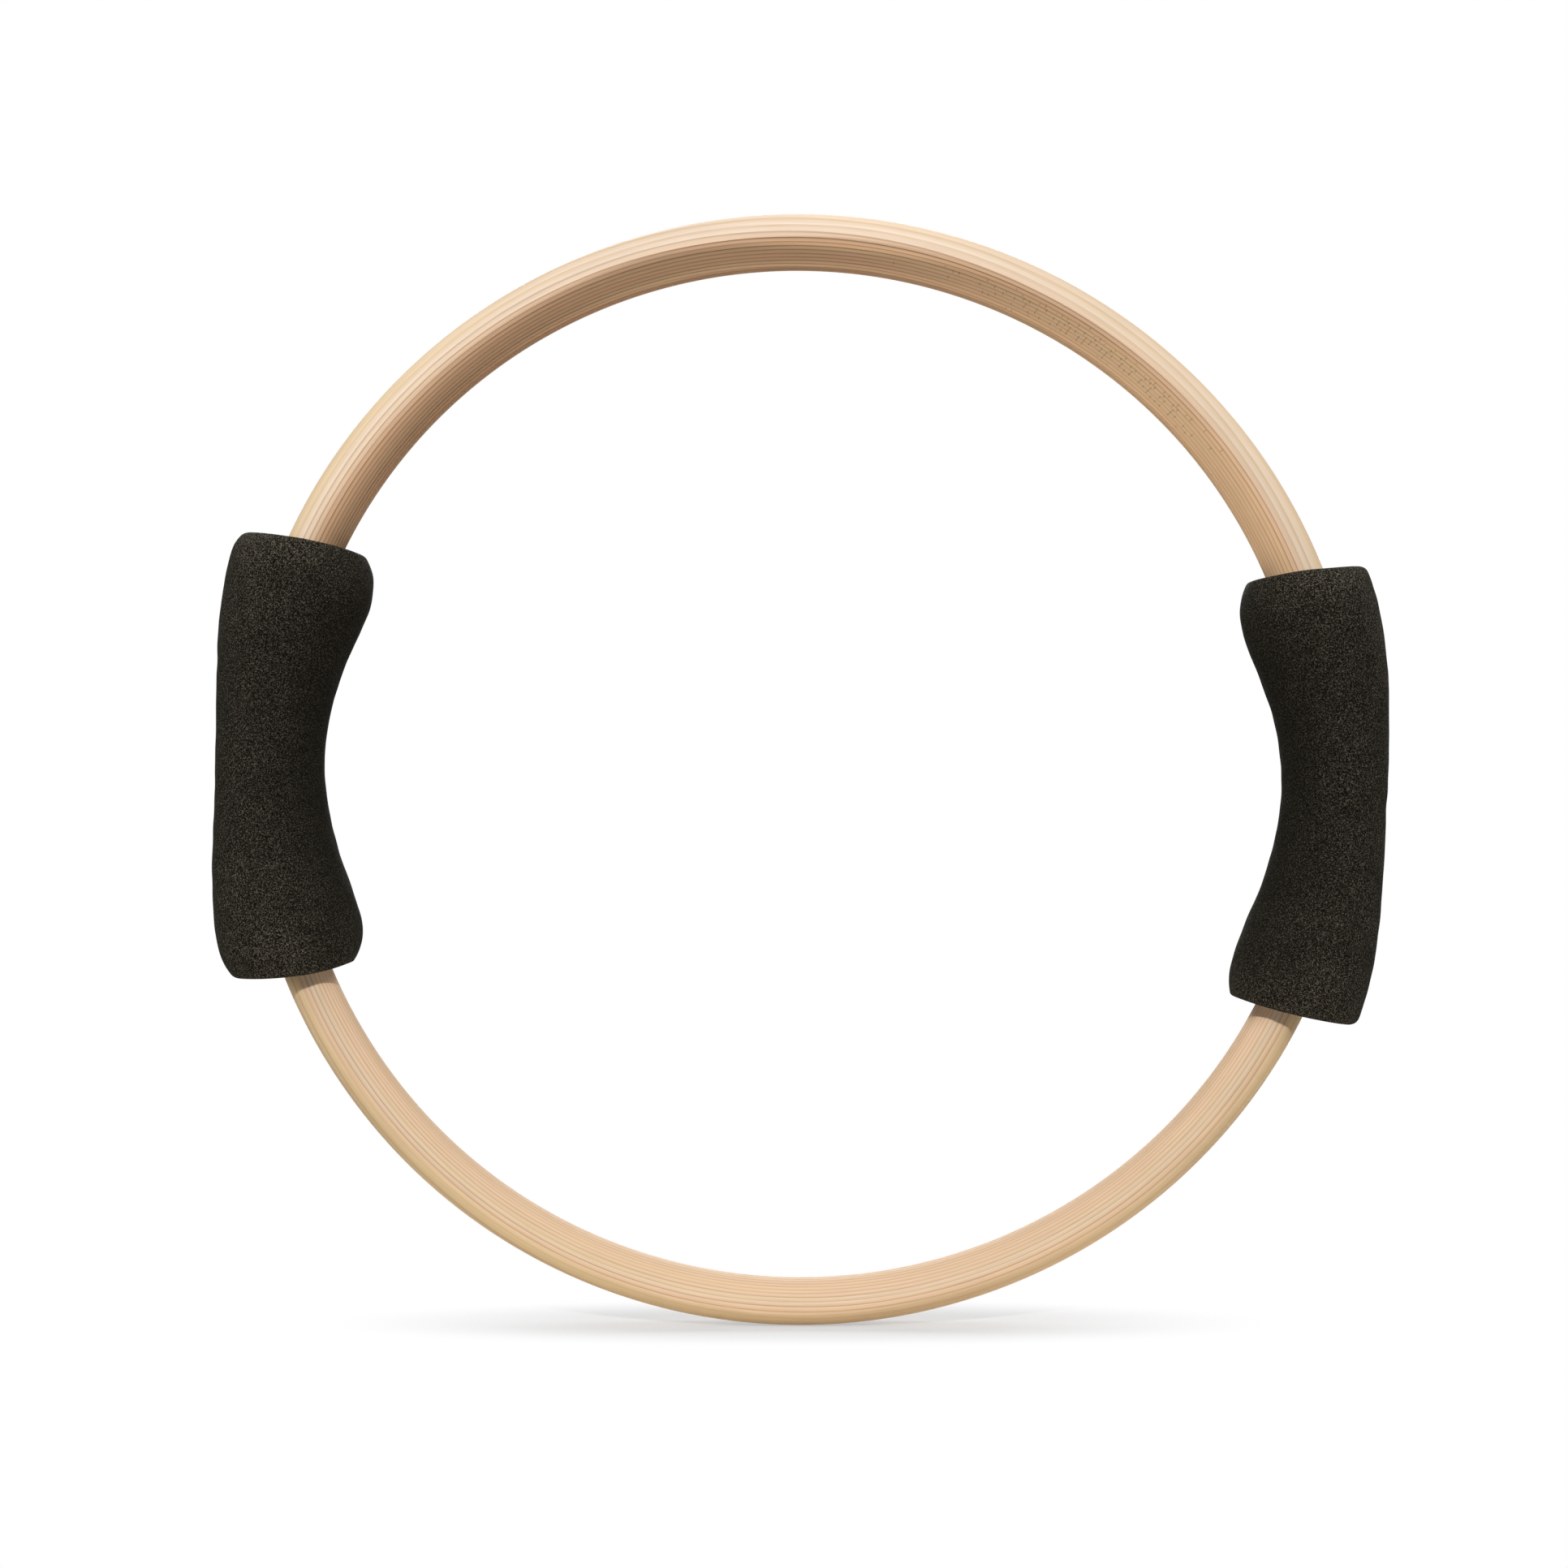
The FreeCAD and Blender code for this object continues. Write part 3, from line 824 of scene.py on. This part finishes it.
def matt_white_card():
    """Matt white card under the hoop: it looks plain white, with the hoop's real soft shadow and a painted
    soft shadow on it.
    """
    material, tree, surface = new_material("matt white card")
    card_start, card_end = 0.18, 0.32
    card_white, floor_grey = 0.88, 0.1
    card_tint = (1.0, 0.95, 0.9)
    # Where the painted soft shadow lies, and how much of the real shadow shows there
    shadow_middle = (0, 0.004, 0)
    shadow_reach = (per(0.16), per(0.048), 0)
    shadow_share = 0.3
    shadow_tint = (0.97, 1.0, 1.03)
    # More than the lamps and the world give to a white card here, where nothing stands in their way, so that
    # inside the shadow mask the floor stays grey: a painted soft shadow under the hoop
    open_level_with_painted_shadow = 1.67
    spot = add_node(tree, "ShaderNodeTexCoord")["Object"]

    # Other light meets a warm white card round the contact point, and a dark floor beyond it
    away = add_node(tree, "ShaderNodeVectorMath", {0: spot}, operation="LENGTH")["Value"]
    white = add_node(
        tree, "ShaderNodeMapRange",
        {
            "Value": away, "From Min": card_start, "From Max": card_end, "To Min": card_white,
            "To Max": floor_grey,
        },
        interpolation_type="SMOOTHSTEP",
    )[0]
    warm = add_node(tree, "ShaderNodeVectorMath", {0: white, 1: card_tint}, operation="MULTIPLY")[0]
    card = add_node(tree, "ShaderNodeBsdfDiffuse", {"Color": warm})[0]

    # The camera sees a glow plus a share of lit card, which stay short of white inside the mask: a painted
    # soft shadow, with the hoop's real shadow on it
    shifted = add_node(tree, "ShaderNodeVectorMath", {0: spot, 1: shadow_middle}, operation="SUBTRACT")[0]
    scaled = add_node(tree, "ShaderNodeVectorMath", {0: shifted, 1: shadow_reach}, operation="MULTIPLY")[0]
    edge = add_node(tree, "ShaderNodeVectorMath", {0: scaled}, operation="LENGTH")["Value"]
    shadow = add_node(
        tree, "ShaderNodeMapRange",
        {"Value": edge, "From Min": 0.35, "From Max": 1.0, "To Min": shadow_share, "To Max": 0.0},
        interpolation_type="SMOOTHSTEP",
    )[0]
    cool = add_node(tree, "ShaderNodeVectorMath", {0: shadow, 1: shadow_tint}, operation="MULTIPLY")[0]
    lit = add_node(tree, "ShaderNodeBsdfDiffuse", {"Color": cool})[0]
    level = add_node(
        tree, "ShaderNodeMath", {0: shadow, 1: -open_level_with_painted_shadow, 2: 1.0}, operation="MULTIPLY_ADD"
    )[0]
    glow = add_node(tree, "ShaderNodeEmission", {"Strength": level})[0]
    seen_card = add_node(tree, "ShaderNodeAddShader", {0: lit, 1: glow})[0]

    mixed = add_node(tree, "ShaderNodeMixShader", {0: seen_background(tree), 1: card, 2: seen_card})[0]
    tree.links.new(mixed, surface)
    return material


def grip_rings(sizes, hoop, side):
    """Rings of points round a grip's outside and round its bore, from the upper end to the lower."""
    rods = {-1: Rod(hoop, upper=True), 1: Rod(hoop, upper=False)}
    column = list(sides).index(side)
    middle_angle = joint_angle(side)
    joint_radius = rods[1].joint_radius
    waist = sizes.waist[column]
    around = np.linspace(0, 2 * math.pi, sizes.ring_points, endpoint=False)
    outer_share = (1 + np.cos(around)) / 2
    # Rings lie closer together towards the ends, where the foam turns in
    shares = 1 - (1 - np.linspace(0, 1, sizes.half_stations)) ** 2
    outside, bore = [], []
    for half, way in enumerate((-1, 1)):
        end = 2 * column + half
        reach = sizes.half_length[end]
        run = sizes.inner_run[end] + outer_share * (sizes.outer_run[end] - sizes.inner_run[end])
        drop = sizes.inner_drop[end] + outer_share * (sizes.outer_drop[end] - sizes.inner_drop[end])
        setback = sizes.inner_setback[end] * (1 - outer_share) ** 2
        for share in shares if way > 0 else shares[:0:-1]:
            turn = way * sides[side] * share * reach / joint_radius
            angle = middle_angle + turn
            swell = (1 - math.cos(math.pi * min(share / sizes.flare_share[column], 1))) / 2
            radius = (waist + swell * (sizes.flare[end] - waist)) / 2
            gap = (1 - share) * reach
            rim = max(sizes.rim_rounding - gap, 0)
            rim_drop = sizes.rim_rounding - math.sqrt(sizes.rim_rounding**2 - rim**2)
            radius = radius - drop * (np.maximum(run - gap, 0) / run) ** 3 - rim_drop
            hoop_radius = joint_radius - sizes.inset[column] + sizes.end_shift[end] * share**2
            outwards = radial(middle_angle + sizes.end_turn_share[end] * turn)
            section = np.cos(around)[:, None] * outwards + np.sin(around)[:, None] * towards_viewer
            ring = hoop_radius * radial(angle) + radius[:, None] * section
            onwards = way * sides[side] * radial(angle + math.pi / 2)
            back = (share**4 * setback)[:, None] * onwards
            outside.append(ring - back)
            bore.append(bore_ring(sizes, rods[way], angle, share * reach, around, outwards) - back)
    return outside, bore


def bore_ring(sizes, rod, angle, away, around, outwards):
    """One ring of the bore, round the rod at a hoop angle and in the plane of the foam's own section."""
    room = sizes.bore_gap + sizes.bore_room * (1 - smooth(taped_half, taped_half + bore_step, away))
    angles = np.array([angle])
    thickness = rod.thickness(angles)[0] + 2 * room
    across, frontwards = oval(thickness, rod_width + 2 * room, around)
    middle = rod.middle_radius(angles)[0] * radial(angle)
    return middle + across[:, None] * outwards + frontwards[:, None] * towards_viewer


def soften_skin(rings, sizes):
    """Moves the foam's outer points in and out by soft lumps, as ground foam has."""
    moved = []
    for ring in rings:
        lumps = np.array([noise.noise(Vector(point) / sizes.skin_lump) for point in ring])
        away = ring - ring.mean(axis=0)
        away /= np.linalg.norm(away, axis=1)[:, None]
        moved.append(ring + away * (sizes.skin_relief * lumps)[:, None])
    return moved


def store_painted_grip_light(mesh, rings, outside_count):
    """Stores painted light and shade on the foam: lighter on the outer side and at the flared ends, darker
    on the inner side.
    """
    around = np.linspace(0, 2 * math.pi, rings.shape[1], endpoint=False)
    along = np.linspace(-1, 1, outside_count)[:, None]
    everywhere, painted_outer_light, painted_end_light = 0.22, 0.5, 0.65
    painted_foam_light = everywhere + painted_outer_light * smooth(-1, 0.3, np.cos(around))[None] + painted_end_light * along**2
    store(mesh, "painted_foam_light", np.concatenate([painted_foam_light, 0 * painted_foam_light]))


class PILATES_OT_half_hoops(bpy.types.Operator):
    """Builds the two steam-bent rods of the hoop"""

    bl_idname = "pilates_ring.half_hoops"
    bl_label = "Build Half-Hoops"

    def execute(self, context):
        settings = context.scene.pilates_ring
        ash = steam_bent_ash(settings.finish)
        for name in ("upper", "lower"):
            rod = Rod(settings.hoop, upper=name == "upper")
            piece = link(f"{name}_rod", rod.mesh(f"{name}_rod"), ash)
            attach(piece, "hoop")
            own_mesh(piece)
            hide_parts(f"{name}_half_hoop")
        return {"FINISHED"}


class PILATES_OT_grips(bpy.types.Operator):
    """Builds the two foam grips"""

    bl_idname = "pilates_ring.grips"
    bl_label = "Build Grips"

    def execute(self, context):
        settings = context.scene.pilates_ring
        foam = closed_cell_foam(settings.finish)
        for side in sides:
            outside, bore = grip_rings(settings.grip, settings.hoop, side)
            rings = np.array(soften_skin(outside, settings.grip) + bore[::-1])
            mesh = grid_mesh(f"{side}_foam_grip", rings, closed=True)
            store_painted_grip_light(mesh, rings, len(outside))
            piece = link(f"{side}_foam_grip", mesh, foam)
            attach(piece, f"{side}_pad")
            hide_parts(f"{side}_grip")
        return {"FINISHED"}


class PILATES_OT_joints(bpy.types.Operator):
    """Finishes the tape and the dowels of the hidden joints"""

    bl_idname = "pilates_ring.joints"
    bl_label = "Finish Joints"

    def execute(self, context):
        finish = context.scene.pilates_ring.finish
        finishes = {"grip_tape": cotton_tape(finish), "scarf_dowels": turned_beech(finish)}
        for side in sides:
            for piece, material in finishes.items():
                materials = frame["nodes"][f"{side}_{piece}"].data.materials
                materials.clear()
                materials.append(material)
        return {"FINISHED"}


class PILATES_OT_stage(bpy.types.Operator):
    """Builds the floor, the lamps and the camera"""

    bl_idname = "pilates_ring.stage"
    bl_label = "Build Stage"

    def execute(self, context):
        settings = context.scene.pilates_ring.stage
        distance = settings.lamp_distance
        context.scene.view_settings.view_transform = "Standard"
        build_floor(settings)
        build_world(context.scene)
        add_lamp("key", distance, azimuth=-5, elevation=26, size=0.1, share=0.66)
        add_lamp("left_fill", distance, azimuth=-35, elevation=45, size=0.9, share=0.17)
        add_lamp("back_right", distance, azimuth=120, elevation=45, size=0.9, share=0.42)
        add_lamp("back_left", distance, azimuth=-130, elevation=50, size=0.9, share=0.3)
        add_lamp("right_low", distance, azimuth=85, elevation=12, size=0.5, share=0.22)
        add_lamp("left_low", distance, azimuth=-75, elevation=6, size=0.4, share=0.12)
        add_lamp("back", distance, azimuth=180, elevation=20, size=0.6, share=0.35)
        build_camera(context.scene, settings)
        return {"FINISHED"}


def build_floor(settings):
    """Round pale floor under the hoop."""
    rim_points = 96
    around = np.linspace(0, 2 * math.pi, rim_points, endpoint=False)
    rim = settings.floor_radius * np.stack([np.cos(around), np.sin(around), 0 * around], axis=-1)
    mesh = bpy.data.meshes.new("floor")
    mesh.from_pydata(rim.tolist(), [], [list(range(rim_points))])
    floor = link("floor", mesh, matt_white_card())
    floor.location.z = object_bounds()[0].z
    floor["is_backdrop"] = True


def build_world(scene):
    """Dim warm light from all round, which the camera, gloss and glass see as white."""
    dim_level, white_level = 0.03, 1.0
    warm_tint, white_tint = (1.0, 0.86, 0.74, 1), (1, 1, 1, 1)
    world = bpy.data.worlds.new("studio")
    world.use_nodes = True
    tree = world.node_tree
    tree.nodes.clear()
    seen = seen_background(tree)
    level = add_node(
        tree, "ShaderNodeMapRange", {"Value": seen, "To Min": dim_level, "To Max": white_level}
    )[0]
    tint = add_node(
        tree, "ShaderNodeMix", {"Factor": seen, mix_first: warm_tint, mix_second: white_tint},
        data_type="RGBA",
    )[mix_result]
    light = add_node(tree, "ShaderNodeBackground", {"Color": tint, "Strength": level})[0]
    add_node(tree, "ShaderNodeOutputWorld", {"Surface": light})
    scene.world = world


def add_lamp(name, distance, azimuth, elevation, size, share):
    """Square lamp aimed at the hoop's centre. With a share of 1 it would light a white card to white."""
    turn, rise = math.radians(azimuth), math.radians(elevation)
    towards = Vector((math.sin(turn) * math.cos(rise), -math.cos(turn) * math.cos(rise), math.sin(rise)))
    lamp = bpy.data.lights.new(name, "AREA")
    lamp.size = size
    lamp.energy = share * math.pi**2 * distance**2
    piece = bpy.data.objects.new(name, lamp)
    piece.location = towards * distance
    piece.rotation_mode = "QUATERNION"
    piece.rotation_quaternion = towards.to_track_quat("Z", "Y")
    bpy.context.scene.collection.objects.link(piece)


def build_camera(scene, settings):
    """Camera that faces the hoop squarely, a little left of its centre and below it."""
    camera = bpy.data.objects.new("camera", bpy.data.cameras.new("camera"))
    camera.data.sensor_width = 36
    camera.data.lens = settings.lens
    camera.location = (settings.camera_right, -settings.camera_distance, settings.camera_up)
    camera.rotation_euler = (math.pi / 2, 0, 0)
    scene.collection.objects.link(camera)
    scene.camera = camera


class PILATES_PT_ring(bpy.types.Panel):
    """Sidebar panel with the ring's settings and steps"""

    bl_idname = "PILATES_PT_ring"
    bl_label = "Pilates Ring"
    bl_space_type = "VIEW_3D"
    bl_region_type = "UI"
    bl_category = "Pilates Ring"

    def draw(self, context):
        settings = context.scene.pilates_ring
        for operator, group in steps.items():
            box = self.layout.box()
            box.operator(operator)
            values = getattr(settings, group)
            for name in values.__annotations__:
                box.prop(values, name)


# Each step's operator and the settings shown with it
steps = {
    "pilates_ring.half_hoops": "hoop",
    "pilates_ring.grips": "grip",
    "pilates_ring.joints": "finish",
    "pilates_ring.stage": "stage",
}

classes = (
    HoopSizes,
    GripSizes,
    FinishColours,
    StageSizes,
    RingSettings,
    PILATES_OT_half_hoops,
    PILATES_OT_grips,
    PILATES_OT_joints,
    PILATES_OT_stage,
    PILATES_PT_ring,
)


def register():
    """Registers the classes and adds the ring's settings to the scene."""
    for item in classes:
        bpy.utils.register_class(item)
    bpy.types.Scene.pilates_ring = bpy.props.PointerProperty(type=RingSettings)


def unregister():
    """Takes the settings and the classes away again."""
    del bpy.types.Scene.pilates_ring
    for item in reversed(classes):
        bpy.utils.unregister_class(item)


def main():
    """Builds the ring and its stage."""
    register()
    bpy.ops.pilates_ring.half_hoops()
    bpy.ops.pilates_ring.grips()
    bpy.ops.pilates_ring.joints()
    bpy.ops.pilates_ring.stage()


if __name__ == "__main__":
    main()
